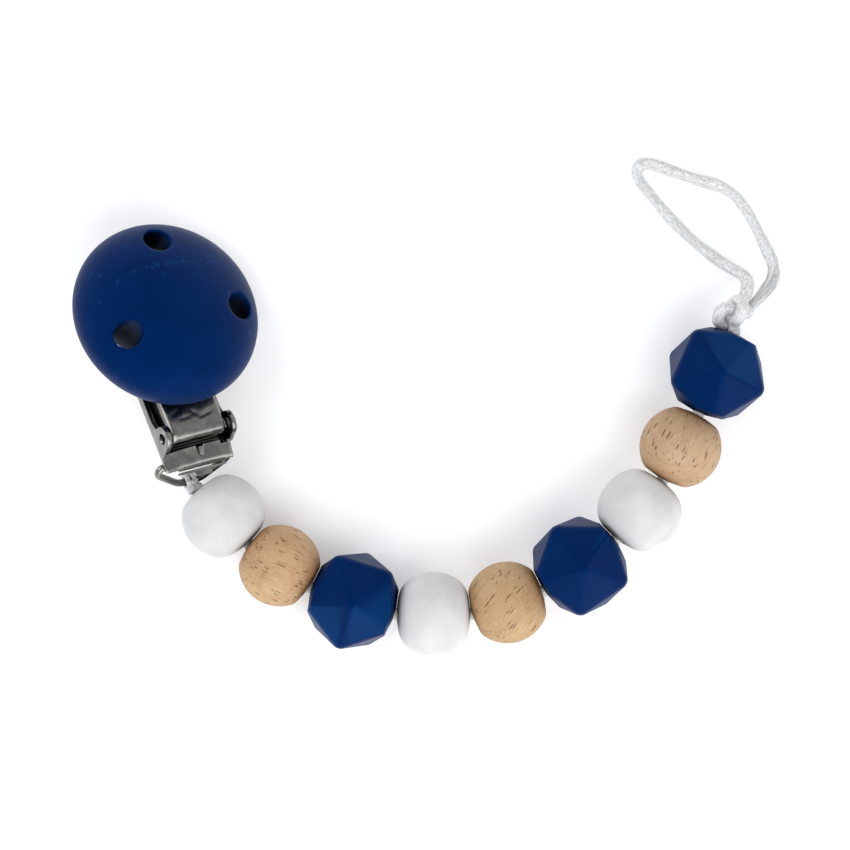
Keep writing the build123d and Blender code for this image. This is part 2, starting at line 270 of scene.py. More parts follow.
def frames_along(points, closed=False, up=Vector((0, 0, 1))):
    """Unit directions and level-turned side vectors along a line of points."""
    n = len(points)
    ways = []
    for i in range(n):
        if closed:
            ways.append((points[(i + 1) % n] - points[i - 1]).normalized())
        else:
            ways.append((points[min(i + 1, n - 1)] - points[max(i - 1, 0)]).normalized())
    side = ways[0].cross(up)
    if side.length < 0.1:
        side = ways[0].cross(Vector((1, 0, 0)))
    side = side.normalized()
    sides = [side]
    for i in range(1, n):
        side = sides[-1]
        side = (side - ways[i] * side.dot(ways[i])).normalized()
        sides.append(side)
    if closed:
        last = (sides[-1] - ways[0] * sides[-1].dot(ways[0])).normalized()
        miss = acos(max(-1, min(1, last.dot(sides[0]))))
        if ways[0].dot(last.cross(sides[0])) < 0:
            miss = -miss
        sides = [Matrix.Rotation(miss * i / n, 3, ways[i]) @ s for i, s in enumerate(sides)]
    return ways, sides


def yarn_tube(name, place, points, radius, around, threads, relief, lay_mm,
              closed=False, squeeze=1.0, radius_at=None):
    """Tube of laid threads along points in millimetres. squeeze is its height over its width.
    Its route attribute holds, at each point, the place round the cord and the distance along it in radii."""
    points = [Vector(p) for p in points]
    ways, sides = frames_along(points, closed)
    count = len(points)
    verts = []
    routes = []
    run = 0.0
    for i, point in enumerate(points):
        if i:
            run += (point - points[i - 1]).length
        r = radius * (radius_at(i / (count - 1)) if radius_at else 1.0)
        lift = ways[i].cross(sides[i])
        for j in range(around):
            a = 2 * pi * j / around
            ridge = 1 + relief * (abs(sin(threads / 2 * (a + 2 * pi * run / lay_mm))) - 0.6)
            verts.append(point + sides[i] * (cos(a) * r * ridge) + lift * (sin(a) * r * ridge * squeeze))
            routes.append((cos(a), sin(a), run / radius))
    faces = []
    for i in range(count if closed else count - 1):
        here, there = i * around, (i + 1) % count * around
        for j in range(around):
            k = (j + 1) % around
            faces.append((here + j, here + k, there + k, there + j))
    if not closed:
        for i in (0, count - 1):
            hub = len(verts)
            verts.append(points[i])
            routes.append((0.0, 0.0, run / radius if i else 0.0))
            for j in range(around):
                faces.append((hub, i * around + j, i * around + (j + 1) % around))
    mesh = bpy.data.meshes.new(name)
    mesh.from_pydata([p * MM for p in verts], [], faces)
    route = mesh.attributes.new("route", "FLOAT_VECTOR", "POINT")
    route.data.foreach_set("vector", [c for r in routes for c in r])
    return new_object(name, smoothed(faced_out(mesh)), place)


def applied(obj):
    """Applies an object's modifiers, and gives its new mesh."""
    bpy.context.view_layer.update()
    evaluated = obj.evaluated_get(bpy.context.evaluated_depsgraph_get())
    mesh = bpy.data.meshes.new_from_object(evaluated)
    old = obj.data
    obj.modifiers.clear()
    obj.data = mesh
    mesh.name = obj.name
    bpy.data.meshes.remove(old)
    return mesh


def bake(obj, sharp_deg=None):
    """Applies an object's modifiers, and shades it smooth but for edges past an angle."""
    smoothed(applied(obj), sharp_deg)
    return obj


def bevel(obj, width, segments, angle):
    """Puts a rounding of some millimetres on an object's edges past an angle."""
    mod = obj.modifiers.new("bevel", "BEVEL")
    mod.width = width * MM
    mod.segments = segments
    mod.limit_method = "ANGLE"
    mod.angle_limit = radians(angle)
    mod.miter_outer = "MITER_ARC"
    return obj


def sheet(name, rows, thickness, place):
    """Sheet of even thickness about a grid of points, closed round its rim."""
    mid = np.array([[tuple(p) for p in row] for row in rows], dtype=float)
    along_rows = np.gradient(mid, axis=0)
    across_rows = np.gradient(mid, axis=1)
    normals = np.cross(along_rows, across_rows)
    normals /= np.linalg.norm(normals, axis=2, keepdims=True)
    m, n = mid.shape[:2]
    upper = (mid + normals * thickness / 2).reshape(-1, 3)
    lower = (mid - normals * thickness / 2).reshape(-1, 3)
    faces = []
    under = m * n
    for i in range(m - 1):
        for j in range(n - 1):
            a, b, c, d = i * n + j, i * n + j + 1, (i + 1) * n + j + 1, (i + 1) * n + j
            faces.append((a, b, c, d))
            faces.append((under + d, under + c, under + b, under + a))
    rim = list(range(n)) + [i * n + n - 1 for i in range(1, m)]
    rim += [(m - 1) * n + j for j in range(n - 2, -1, -1)] + [i * n for i in range(m - 2, 0, -1)]
    for a, b in zip(rim, rim[1:] + rim[:1]):
        faces.append((a, under + a, under + b, b))
    return new_object(name, mesh_of(name, list(map(tuple, np.vstack([upper, lower]))), faces), place)


def cut(obj, cutter, operation="DIFFERENCE"):
    """Takes another object's shape out of this one, or keeps what they share, at once."""
    mod = obj.modifiers.new("cut", "BOOLEAN")
    mod.operation = operation
    mod.solver = "EXACT"
    mod.object = cutter
    bake(obj)
    drop(cutter)


def drop(obj):
    """Removes an object and its mesh."""
    mesh = obj.data
    bpy.data.objects.remove(obj)
    bpy.data.meshes.remove(mesh)


def hoop(centre, way, side, radius, segments):
    """Points of a circle square to a unit direction, from the side of it that another gives."""
    lift = way.cross(side)
    turns = [2 * pi * j / segments for j in range(segments)]
    return [centre + side * (radius * cos(a)) + lift * (radius * sin(a)) for a in turns]


def rod(name, start, end, radius, place, segments):
    """Plain round bar between two points, used as a cutter."""
    start, end = Vector(start), Vector(end)
    way = (end - start).normalized()
    side = way.orthogonal().normalized()
    rows = [hoop(point, way, side, radius, segments) for point in (start, end)]
    return new_object(name, grid(name, rows, wrap=True, caps=True), place)


def prism(name, outline, low, high, place):
    """Straight prism of an (x, y) outline between two heights."""
    rows = [[(x, y, z) for x, y in outline] for z in (low, high)]
    return new_object(name, grid(name, rows, wrap=True, caps=True), place)


def joined(name, objects, sharp_deg=None):
    """One object out of several in the same frame."""
    work = bmesh.new()
    for obj in objects:
        work.from_mesh(obj.data)
    mesh = bpy.data.meshes.new(name)
    work.to_mesh(mesh)
    work.free()
    place = objects[0].matrix_world.copy()
    for obj in objects:
        drop(obj)
    return new_object(name, smoothed(mesh, sharp_deg), place)


def finish_piece(obj, material, body, *nodes, slot):
    """Gives a piece its material and body, and hides the CAD nodes that it stands for; slot is not used."""
    obj.data.transform(obj.matrix_world)
    obj.matrix_world = Matrix()
    obj.data.materials.clear()
    obj.data.materials.append(material)
    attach(obj, body)
    if nodes:
        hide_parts(*nodes)
    return obj


# ==== materials ====
class Shader:
    """A node material, and short ways to add and link its nodes."""

    def __init__(self, name):
        self.material = bpy.data.materials.new(name)
        self.material.use_nodes = True
        self.nodes = self.material.node_tree.nodes
        self.links = self.material.node_tree.links
        self.bsdf = self.nodes["Principled BSDF"]
        coordinates = self.nodes.new("ShaderNodeTexCoord")
        self.place = coordinates.outputs["Object"]

    def put(self, value, socket):
        if isinstance(value, bpy.types.NodeSocket):
            self.links.new(value, socket)
        else:
            socket.default_value = value

    def set(self, **values):
        for key, value in values.items():
            self.put(value, self.bsdf.inputs[key.replace("_", " ")])

    def scaled(self, scale, source=None):
        node = self.nodes.new("ShaderNodeMapping")
        node.inputs["Scale"].default_value = scale
        self.links.new(source or self.place, node.inputs["Vector"])
        return node.outputs["Vector"]

    def seen_from(self, place):
        """Coordinates in another frame, given as its matrix."""
        node = self.nodes.new("ShaderNodeMapping")
        node.vector_type = "TEXTURE"
        node.inputs["Location"].default_value = place.translation
        node.inputs["Rotation"].default_value = place.to_euler("XYZ")
        self.links.new(self.place, node.inputs["Vector"])
        return node.outputs["Vector"]

    def noise(self, source, scale, detail=3.0, distortion=0.0, rough=0.5):
        node = self.nodes.new("ShaderNodeTexNoise")
        node.inputs["Scale"].default_value = scale
        node.inputs["Detail"].default_value = detail
        node.inputs["Roughness"].default_value = rough
        node.inputs["Distortion"].default_value = distortion
        self.links.new(source, node.inputs["Vector"])
        return node.outputs["Fac"]

    def cells(self, source, scale, feature="F1"):
        node = self.nodes.new("ShaderNodeTexVoronoi")
        node.feature = feature
        node.inputs["Scale"].default_value = scale
        self.links.new(source, node.inputs["Vector"])
        return node.outputs["Distance"]

    def ramp(self, value, *stops):
        node = self.nodes.new("ShaderNodeValToRGB")
        elements = node.color_ramp.elements
        while len(elements) < len(stops):
            elements.new(0.5)
        for element, (position, colour) in zip(elements, stops):
            element.position = position
            element.color = (*colour, 1) if len(colour) == 3 else (*colour * 3, 1)
        self.links.new(value, node.inputs["Fac"])
        return node.outputs["Color"]

    def remap(self, value, low, high, to_low, to_high):
        node = self.nodes.new("ShaderNodeMapRange")
        for key, number in zip(("From Min", "From Max", "To Min", "To Max"), (low, high, to_low, to_high)):
            node.inputs[key].default_value = number
        self.links.new(value, node.inputs["Value"])
        return node.outputs["Result"]

    def math(self, operation, a, b=0.0):
        node = self.nodes.new("ShaderNodeMath")
        node.operation = operation
        self.put(a, node.inputs[0])
        self.put(b, node.inputs[1])
        return node.outputs["Value"]

    def mix(self, share, a, b, blend="MIX"):
        node = self.nodes.new("ShaderNodeMix")
        node.data_type = "RGBA"
        node.blend_type = blend
        self.put(share, node.inputs["Factor"])
        for value, socket in ((a, node.inputs[6]), (b, node.inputs[7])):
            self.put((*value, 1) if isinstance(value, tuple) else value, socket)
        return node.outputs[2]

    def bump(self, height, strength, distance_mm, under=None):
        node = self.nodes.new("ShaderNodeBump")
        node.inputs["Strength"].default_value = strength
        node.inputs["Distance"].default_value = distance_mm * MM
        self.links.new(height, node.inputs["Height"])
        if under is not None:
            self.links.new(under, node.inputs["Normal"])
        return node.outputs["Normal"]

    def painted_shade_share(self, distance_mm, least, low=0.12, high=0.55):
        """Share of light that reaches a point, used to paint shade into a colour where less light reaches:
        inside folded metal, deep holes and near other surfaces.
        """
        node = self.nodes.new("ShaderNodeAmbientOcclusion")
        node.samples = 8
        node.inputs["Distance"].default_value = distance_mm * MM
        return self.remap(node.outputs["AO"], low, high, least, 1.0)

    def pointiness(self):
        node = self.nodes.new("ShaderNodeNewGeometry")
        return node.outputs["Pointiness"]


def silicone(name, colour, speck, rough, shine):
    """Matt moulded silicone: faint mottling, a fine skin texture, a few specks of lint, and painted shade in
    its vents and recesses.
    """
    s = Shader(name)
    mottle = s.noise(s.place, 160, 3)
    darker = tuple(c * 0.86 for c in colour)
    tone = s.mix(s.remap(mottle, 0.35, 0.65, 0, 1), darker, colour)
    lint = s.cells(s.place, 420)
    dust = s.ramp(lint, (0.0, (1.0,)), (0.024, (1.0,)), (0.038, (0.0,)))
    thin = s.remap(s.noise(s.place, 75, 1), 0.56, 0.62, 0, 0.7)
    tone = s.mix(s.math("MULTIPLY", dust, thin), tone, speck)
    worn = s.remap(s.pointiness(), 0.53, 0.60, 0, 0.16)
    tone = s.mix(worn, tone, speck)
    # Painted shade: the colour darkens to a quarter where little light reaches, in vents and recesses, and
    # the same share dims the reflection there.
    painted_shade_lit_share = s.painted_shade_share(6.0, 0.0)
    tone = s.mix(painted_shade_lit_share, tuple(c * 0.25 for c in colour), tone)
    skin = s.noise(s.place, 5200, 2)
    s.set(Base_Color=tone, Roughness=s.remap(mottle, 0.3, 0.7, rough - 0.04, rough + 0.05))
    s.set(Normal=s.bump(skin, 0.12, 0.02))
    s.set(Specular_IOR_Level=s.math("MULTIPLY", painted_shade_lit_share, shine))
    s.set(Specular_Tint=(*(min(1.0, 6 * c) for c in colour), 1))
    return s.material


def beech(name, place, light, dark):
    """Beech with its grain along x of a place: faint ring arcs, short dark flecks, fine pores, and painted
    shade where less light reaches.
    """
    s = Shader(name)
    grain = s.seen_from(place)
    rings = s.nodes.new("ShaderNodeTexWave")
    rings.wave_type = "RINGS"
    rings.rings_direction = "X"
    rings.wave_profile = "SAW"
    rings.inputs["Scale"].default_value = 62
    rings.inputs["Distortion"].default_value = 1.3
    rings.inputs["Detail"].default_value = 2
    rings.inputs["Detail Scale"].default_value = 1.2
    s.links.new(s.scaled((0.25, 1, 1), source=grain), rings.inputs["Vector"])
    band = rings.outputs["Fac"]
    line = s.ramp(band, (0.0, (0.0,)), (0.9, (0.12,)), (0.97, (1.0,)), (1.0, (0.2,)))
    cloud = s.noise(s.scaled((0.35, 1, 1), source=grain), 230, 3)
    tone = s.mix(s.remap(cloud, 0.3, 0.7, 0, 1), dark, light)
    tone = s.mix(s.math("MULTIPLY", line, 0.5), tone, (0.37, 0.185, 0.085))
    fibre = s.noise(s.scaled((0.06, 1, 1), source=grain), 3600, 2)
    tone = s.mix(s.remap(fibre, 0.35, 0.7, 0.0, 0.30), tone, (0.72, 0.50, 0.31))
    pores = s.noise(s.scaled((0.30, 1, 1), source=grain), 5200, 1)
    pore = s.remap(pores, 0.60, 0.72, 0, 0.42)
    tone = s.mix(pore, tone, (0.33, 0.17, 0.075))
    bent = s.nodes.new("ShaderNodeVectorMath")
    bent.operation = "MULTIPLY_ADD"
    s.links.new(s.noise(grain, 150, 1), bent.inputs[0])
    bent.inputs[1].default_value = (0.0, 0.0016, 0.0016)
    s.links.new(grain, bent.inputs[2])
    flecks = s.cells(s.scaled((0.12, 1, 0.35), source=bent.outputs["Vector"]), 2300)
    fleck = s.ramp(flecks, (0.0, (1.0,)), (0.22, (0.9,)), (0.31, (0.0,)))
    share = s.remap(s.noise(grain, 380, 1), 0.42, 0.54, 0, 0.95)
    fleck_here = s.math("MULTIPLY", fleck, share)
    tone = s.mix(fleck_here, tone, (0.105, 0.040, 0.014))
    # Painted shade: colour darkened towards a deeper brown where less light reaches within 14 mm, as near
    # the floor and the neighbouring beads.
    shade = tuple(c * f for c, f in zip(dark, (0.80, 0.62, 0.48)))
    tone = s.mix(s.painted_shade_share(14.0, 0.15, 0.40, 0.98), shade, tone)
    height = s.math("SUBTRACT", s.math("MULTIPLY", fibre, 0.25), s.math("ADD", fleck_here, pore))
    s.set(Base_Color=tone, Roughness=s.remap(fibre, 0.3, 0.7, 0.50, 0.64))
    s.set(Normal=s.bump(height, 0.45, 0.05), Specular_IOR_Level=0.35)
    return s.material


def steel(name, colour, rough, scratch=(1, 9, 1), stain=0.25):
    """Plated sheet or wire: cloudy plating, fine drawn lines, small pits, brighter worn edges, and painted
    shade inside folds and holes.
    """
    s = Shader(name)
    cloud = s.noise(s.place, 520, 4, 0.6)
    lines = s.noise(s.scaled(scratch, s.seen_from(CLIP)), 2600, 2)
    pits = s.cells(s.place, 1500)
    pit = s.ramp(pits, (0.0, (1.0,)), (0.08, (0.6,)), (0.14, (0.0,)))
    darker = tuple(c * (1 - stain) for c in colour)
    warm = (colour[0] * 1.12, colour[1] * 1.08, colour[2] * 1.0)
    tone = s.mix(s.remap(cloud, 0.35, 0.65, 0, 1), darker, warm)
    tone = s.mix(s.math("MULTIPLY", pit, 0.35), tone, tuple(c * 0.4 for c in colour))
    worn = s.remap(s.pointiness(), 0.52, 0.60, 0, 0.8)
    tone = s.mix(worn, tone, tuple(min(1, c * 1.5) for c in colour))
    # Painted shade: colour darkened nearly to black where little light reaches, inside folds and holes.
    tone = s.mix(s.painted_shade_share(5.0, 0.0), tuple(c * 0.06 for c in colour), tone)
    gloss = s.math("ADD", s.remap(cloud, 0.3, 0.7, rough - 0.05, rough + 0.08),
                   s.remap(lines, 0.3, 0.7, -0.03, 0.05))
    s.set(Base_Color=tone, Metallic=1.0, Roughness=gloss)
    s.set(Normal=s.bump(lines, 0.10, 0.01, s.bump(cloud, 0.35, 0.05)))
    return s.material


def plastic(name, colour, rough):
    """Moulded plastic with a fine spark-eroded grain."""
    s = Shader(name)
    cloud = s.noise(s.place, 300, 3)
    tone = s.mix(s.remap(cloud, 0.3, 0.7, 0, 1), tuple(c * 0.85 for c in colour), colour)
    grain = s.cells(s.place, 4200)
    s.set(Base_Color=tone, Roughness=s.remap(cloud, 0.3, 0.7, rough, rough + 0.1))
    s.set(Normal=s.bump(grain, 0.25, 0.03))
    return s.material


def satin(name):
    """Satin cord: long fine fibres along it, with a silky sheen and a little translucency."""
    s = Shader(name)
    attribute = s.nodes.new("ShaderNodeAttribute")
    attribute.attribute_name = "route"
    route = attribute.outputs["Vector"]
    fibres = s.noise(s.scaled((2.6, 2.6, 0.6), source=route), 2.4, 3, 0.7)
    glints = s.noise(s.scaled((5.5, 5.5, 1.3), source=route), 2.0, 2, 0.3)
    tone = s.ramp(fibres, (0.30, (0.38, 0.385, 0.39)), (0.50, (0.66, 0.665, 0.665)), (0.66, (0.86,)))
    s.set(Base_Color=tone, Roughness=s.remap(glints, 0.3, 0.7, 0.22, 0.5))
    s.set(Normal=s.bump(glints, 0.5, 0.06, s.bump(fibres, 0.6, 0.12)))
    s.set(Sheen_Weight=0.5, Sheen_Roughness=0.35, Specular_IOR_Level=0.6)
    s.set(Subsurface_Weight=0.12, Subsurface_Radius=(0.6 * MM,) * 3, Subsurface_Scale=0.5)
    return s.material


navy = silicone("navy_silicone", (0.0004, 0.0155, 0.084), (0.004, 0.085, 0.25), 0.44, 0.17)
white = silicone("white_silicone", (0.64, 0.64, 0.64), (0.72, 0.72, 0.72), 0.5, 0.22)
plated = steel("plated_steel", (0.235, 0.235, 0.23), 0.22)
sprung = steel("spring_steel", (0.20, 0.20, 0.20), 0.28, (9, 1, 1))
drawn = steel("wire_steel", (0.22, 0.22, 0.215), 0.20, (1, 1, 1), 0.2)
riveted = steel("rivet_steel", (0.45, 0.45, 0.44), 0.3)
core_plastic = plastic("core_plastic", (0.012, 0.022, 0.06), 0.42)
pad_plastic = plastic("pad_plastic", (0.78, 0.78, 0.76), 0.4)
cord_satin = satin("cord_satin")


# ==== camera and free cord ====
def add_camera():
    camera = bpy.data.cameras.new("camera")
    camera.sensor_width = SENSOR_MM
    camera.lens = SENSOR_MM * (CAMERA_AT[2] - SEEN_HEIGHT) / SEEN_WIDTH
    camera.clip_start = 0.01
    obj = bpy.data.objects.new("camera", camera)
    bpy.context.scene.collection.objects.link(obj)
    obj.location = CAMERA_AT
    bpy.context.scene.camera = obj


def route_line(name, points, resolution):
    """Points along a NURBS curve with these control points."""
    curve = bpy.data.curves.new(name, "CURVE")
    curve.dimensions = "3D"
    curve.resolution_u = resolution
    spline = curve.splines.new("NURBS")
    spline.points.add(len(points) - 1)
    for slot, point in zip(spline.points, points):
        slot.co = (*point, 1)
    spline.order_u = 3
    spline.use_endpoint_u = True
    obj = bpy.data.objects.new(name, curve)
    mesh = bpy.data.meshes.new_from_object(obj)
    line = [v.co.copy() for v in mesh.vertices]
    bpy.data.objects.remove(obj)
    bpy.data.curves.remove(curve)
    bpy.data.meshes.remove(mesh)
    return line


def end_loop():
    """Free loop of satin cord, with some threads sprung loose where it goes back to the knot."""
    line = route_line("end_loop_route", LOOP_POINTS, 26)
    points = [p / MM for p in line]

    def swell(t):
        return 1.0 + 0.10 * sin(23 * t) * sin(9 * t + 1.0) + 0.06 * sin(61 * t)

    loop = yarn_tube("end_loop_cord", Matrix(), points, LOOP_R * 1.1, 56, 14, 0.10, 13.0, squeeze=0.8,
                     radius_at=swell)
    finish_piece(loop, cord_satin, "knot", "end_loop", slot="cord_satin")
    strands = loose_threads(points)
    finish_piece(strands, cord_satin, "knot", slot="cord_satin")


def loose_threads(points):
    """Fine threads that stand off the cord over its last stretch."""
    ways, sides = frames_along(points)
    first = int(len(points) * 0.86)
    last = len(points) - 2
    threads = []
    rng = np.random.default_rng(7)
    for k in range(22):
        angle = rng.uniform(-1.1, 1.1) + (pi if k % 3 == 0 else 0)
        bow = rng.uniform(0.15, 0.85)
        start = first + int(rng.uniform(0, 0.35) * (last - first))
        route = []
        for i in range(start, last, 2):
            t = (i - start) / (last - start)
            lift = ways[i].cross(sides[i])
            out = LOOP_R * 0.92 + bow * sin(pi * t) ** 1.3
            turn = angle + 0.5 * t
            route.append(points[i] + sides[i] * (out * cos(turn)) + lift * (out * 0.8 * sin(turn)))
        if len(route) > 4:
            threads.append(yarn_tube("thread", Matrix(), route, 0.07, 6, 2, 0.0, 16.0))
    return joined("end_loop_threads", threads)


add_camera()
end_loop()


# ==== beads and the cord through them ====
def end_height(reach, r):
    """Height of a bead's coned end over its centre, at a radius."""
    return reach - END_CLEARANCE - r * tan(radians(END_SLOPE))


def cone_rim(tip, radius):
    """Radius at which a bead's coned end, its point at a height, meets a ball."""
    slope = tan(radians(END_SLOPE))
    return (tip * slope + sqrt(tip**2 * slope**2 - (1 + slope**2) * (tip**2 - radius**2))) / (1 + slope**2)


def ball_outline(radius, lip, corner):
    """Outline, closed through the bore, of a ball with coned ends and rounded lips."""
    rim = cone_rim(ROUND_REACH - END_CLEARANCE, radius)
    a = asin(rim / radius) + corner / radius
    arc = [(radius * sin(t), radius * cos(t)) for t in np.linspace(a, pi / 2, 26)]
    top = bezier((BORE_R, end_height(ROUND_REACH, BORE_R) - lip), (BORE_R, end_height(ROUND_REACH, BORE_R)),
                 (BORE_R + lip, end_height(ROUND_REACH, BORE_R + lip)), 5)
    inner, outer = BORE_R + lip, rim - corner
    for t in (0.33, 0.66):
        r = inner + (outer - inner) * t
        top.append((r, end_height(ROUND_REACH, r)))
    flat_end, rim_top = (outer, end_height(ROUND_REACH, outer)), (rim, end_height(ROUND_REACH, rim))
    top += bezier(flat_end, rim_top, arc[0], 6)[:-1]
    half = top + arc
    return half + [(r, -z) for r, z in reversed(half[:-1])]


def round_bead(name, kind, place):
    lip, corner = (0.3, 1.5) if kind == "white" else (0.25, 0.7)
    outline = ball_outline(ROUND_R[kind], lip, corner)
    outline += [(BORE_R, z) for z in np.linspace(-4, 4, 7)]
    return new_object(name, smoothed(lathe(name, outline, 112), 50), place)


def faceted_bead(name, lean, place):
    """Icosahedron bored through two opposite edges, its edges and corners moulded round."""
    golden = (1 + sqrt(5)) / 2
    half_edge = FACETED_ACROSS_EDGES / 2 / golden
    work = bmesh.new()
    for a in (-half_edge, half_edge):
        for b in (-half_edge * golden, half_edge * golden):
            for corner in ((0, a, b), (a, b, 0), (b, 0, a)):
                work.verts.new(Vector(corner) * MM)
    bmesh.ops.convex_hull(work, input=work.verts)
    bmesh.ops.recalc_face_normals(work, faces=work.faces)
    turn = Matrix.Rotation(lean * atan(1 / golden) - pi / 2, 3, "Z")
    bmesh.ops.rotate(work, verts=work.verts, matrix=turn)
    mesh = bpy.data.meshes.new(name)
    work.to_mesh(mesh)
    work.free()
    mesh.shade_smooth()
    obj = new_object(name, mesh, place)
    bake(bevel(obj, 0.62, 6, 20))
    tip, wide = FACETED_REACH - END_CLEARANCE, 12.0
    rim = end_height(FACETED_REACH, wide)
    spindle = lathe("spindle", [(0, tip), (wide, rim), (wide, -rim), (0, -tip)], 96, closed=False)
    cut(obj, new_object("spindle", spindle, place), "INTERSECT")
    cut(obj, rod("bore", (0, 0, -12), (0, 0, 12), BORE_R, place, 40))
    bake(bevel(obj, 0.22, 3, 24), 50)
    weight = obj.modifiers.new("flat_faces", "WEIGHTED_NORMAL")
    weight.weight = 100
    weight.keep_sharp = True
    applied(obj)
    return obj


# Each wooden bead: its grain's heading and slope, how far its growth rings' centre lies from its own,
# and its light and dark tones.
BEECH_LOOKS = {
    2: (-33, 12, (2, 4, -13), (0.50, 0.335, 0.175), (0.38, 0.225, 0.102)),
    5: (52, -8, (-3, 6, -10), (0.465, 0.315, 0.16), (0.355, 0.215, 0.095)),
    8: (58, 20, (2, -5, -9), (0.455, 0.32, 0.195), (0.355, 0.23, 0.125)),
}
BEAD_SLOTS = {"white": "white_silicone", "wood": "beech", "faceted": "navy_silicone"}


def strap():
    """Nine beads and the cord through each."""
    for i, kind in enumerate(BEAD_KINDS):
        number = i + 1
        node = f"bead_{number}_{kind}"
        low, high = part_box(node)
        place = along(bends[i], bends[i + 1], (low + high) / 2)
        if kind == "faceted":
            bead = faceted_bead(f"{node}_moulded", FACETED_LEANS[number], place)
            material = navy
        else:
            bead = round_bead(f"{node}_finished", kind, place)
            material = white
            if kind == "wood":
                heading, slope, rings_at, light, dark = BEECH_LOOKS[number]
                turn = Matrix.Rotation(radians(heading), 4, "Z") @ Matrix.Rotation(radians(slope), 4, "Y")
                centre = place.translation + Vector(rings_at) * MM
                material = beech(f"beech_{number}", Matrix.Translation(centre) @ turn, light, dark)
        finish_piece(bead, material, f"bead_{number}", node, slot=BEAD_SLOTS[kind])
        span = cord_length(number, bends[i], bends[i + 1])
        finish_piece(span, cord_satin, f"span_{number}", f"cord_span_{number}", slot="cord_satin")


def cord_length(number, start, end):
    """Cord through one bead, round at both ends, where it turns to the next."""
    length = (end - start).length / MM
    name = f"cord_span_{number}_laid"
    inset = [CORD_R * (1 - cos(a)) for a in np.linspace(0.35, pi / 2, 6)]
    low = [z - CORD_R for z in inset]
    stations = low + list(np.linspace(0.2, length - 0.2, 40)) + [length - z for z in reversed(low)]
    points = [(0, 0, z) for z in stations]

    def end_curve(t):
        z = stations[min(len(stations) - 1, round(t * (len(stations) - 1)))]
        over = max(-z, z - length, 0)
        return sqrt(max(0.0, 1 - (over / CORD_R) ** 2))

    place = along(start, end, start)
    return yarn_tube(name, place, points, CORD_R * 0.97, 36, 10, 0.08, 14.0, radius_at=end_curve)


strap()


# ==== end knot and ring hitch ====
def end_knot():
    """Tight overhand knot of satin cord, with its short neck to the last bead."""
    start, bend = bends[-2], bends[-1]
    heading = (bend - start).normalized()
    flat = Vector((heading.x, heading.y, 0)).normalized()
    flat = Matrix.Rotation(radians(KNOT_TURN), 3, "Z") @ flat
    centre = bend + flat * (KNOT_REACH * MM)
    place = along(bend, centre, centre)
    steps = 220
    route = []
    for i in range(steps):
        t = 2 * pi * i / steps
        reach = 1.72 + 0.90 * cos(3 * t)
        route.append(Vector((reach * cos(2 * t), reach * sin(2 * t), 1.45 * sin(3 * t))))
    tilt = Matrix.Rotation(radians(35), 3, "X") @ Matrix.Rotation(radians(38), 3, "Z")
    squash = Vector((1.0, 1.26, 0.94))
    route = [Vector([a * b for a, b in zip(tilt @ p, squash)]) for p in route]
    wraps = yarn_tube("knot_wraps", place, route, 1.12, 40, 12, 0.09, 12.0, closed=True)
    neck = [(0, 0, z) for z in np.linspace(-KNOT_REACH + 0.2, -0.4, 14)]
    knot = joined("end_knot_tied", [wraps, yarn_tube("knot_neck", place, neck, CORD_R, 40, 12, 0.08, 12.0)])
    finish_piece(knot, cord_satin, "knot", "end_knot", slot="cord_satin")


def cord_hitch():
    """Lark's head of doubled cord round the ring's far side."""
    bend = bends[0]
    place = along(ring_tip, bend, ring_tip)
    across = (place.inverted().to_3x3() @ Vector(joints["ring_swing"]["axis"])).normalized()
    out = Vector((0, 0, 1))
    lift = out.cross(across).normalized()
    out = across.cross(lift)
    pieces = []
    wrap_r = WIRE_R + 0.44
    for side in (-1, 1):
        route = [across * (side * 0.35) + out * 1.9 + lift * 0.25]
        for a in np.linspace(50, 310, 30):
            turn = radians(a)
            drift = side * (0.52 + 0.10 * sin(turn))
            route.append(across * drift + out * (wrap_r * cos(turn)) + lift * (wrap_r * sin(turn)))
        route.append(across * (side * 0.35) + out * 1.9 - lift * 0.25)
        pieces.append(yarn_tube("wrap", place, route, 0.46, 24, 8, 0.10, 6.0))
    bight = []
    for a in np.linspace(-78, 78, 24):
        turn = radians(a)
        bight.append(across * (0.8 * sin(turn)) + out * (0.5 + 0.5 * cos(turn)) + lift * (wrap_r + 0.3))
    pieces.append(yarn_tube("wrap", place, bight, 0.4, 24, 8, 0.10, 6.0))
    neck = [out * z for z in np.linspace(1.0, (bend - ring_tip).length / MM + 0.3, 10)]
    pieces.append(yarn_tube("wrap", place, neck, 0.98, 36, 10, 0.08, 12.0))
    hitch = joined("cord_hitch_tied", pieces)
    finish_piece(hitch, cord_satin, "hitch", "cord_hitch", slot="cord_satin")


end_knot()
cord_hitch()


# ==== clip: silicone disc on its core ====
def half_outline():
    """Outline of the disc's dome, edge and back, as (radius, height)."""
    dome = [(DISC_R * sin(a), DOME_HEIGHT * cos(a)) for a in np.linspace(0.0, pi / 2, 34)]
    flat_r = DISC_R - EDGE_ROUND
    edge = [(flat_r + EDGE_ROUND * cos(a), -BACK_DEPTH * sin(a)) for a in np.linspace(0.08, pi / 2, 14)]
    groove = [(BOSS_R + 0.5, -BACK_DEPTH), (BOSS_R + 0.1, -BACK_DEPTH + 0.5), (0, -BACK_DEPTH + 0.5)]
    return dome + edge + groove


